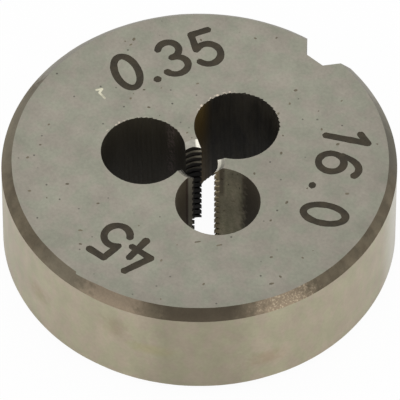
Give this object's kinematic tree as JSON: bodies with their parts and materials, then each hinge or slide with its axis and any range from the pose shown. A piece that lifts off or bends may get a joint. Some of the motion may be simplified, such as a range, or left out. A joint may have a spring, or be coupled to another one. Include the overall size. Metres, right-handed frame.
{
  "type": "round threading die",
  "caption": "Round threading die: a ground steel disc with a fine thread cut across lands between chip holes, and a setting notch in its rim.",
  "frame": {"origin": "centre of the back face, on the axis of the thread", "axes": "+Z along the thread's axis, out of the marked front face; +Y points to the setting notch in the rim; +X completes a right-handed frame"},
  "size_m": [0.016, 0.0159, 0.005],
  "materials": {
    "tool_steel": "hardened tool steel with ground faces gone warm grey, a dark heat-blackened chamfer and dark chip holes"
  },
  "bodies": {
    "root": {"threading_die": "tool_steel"}
  },
  "joints": []
}
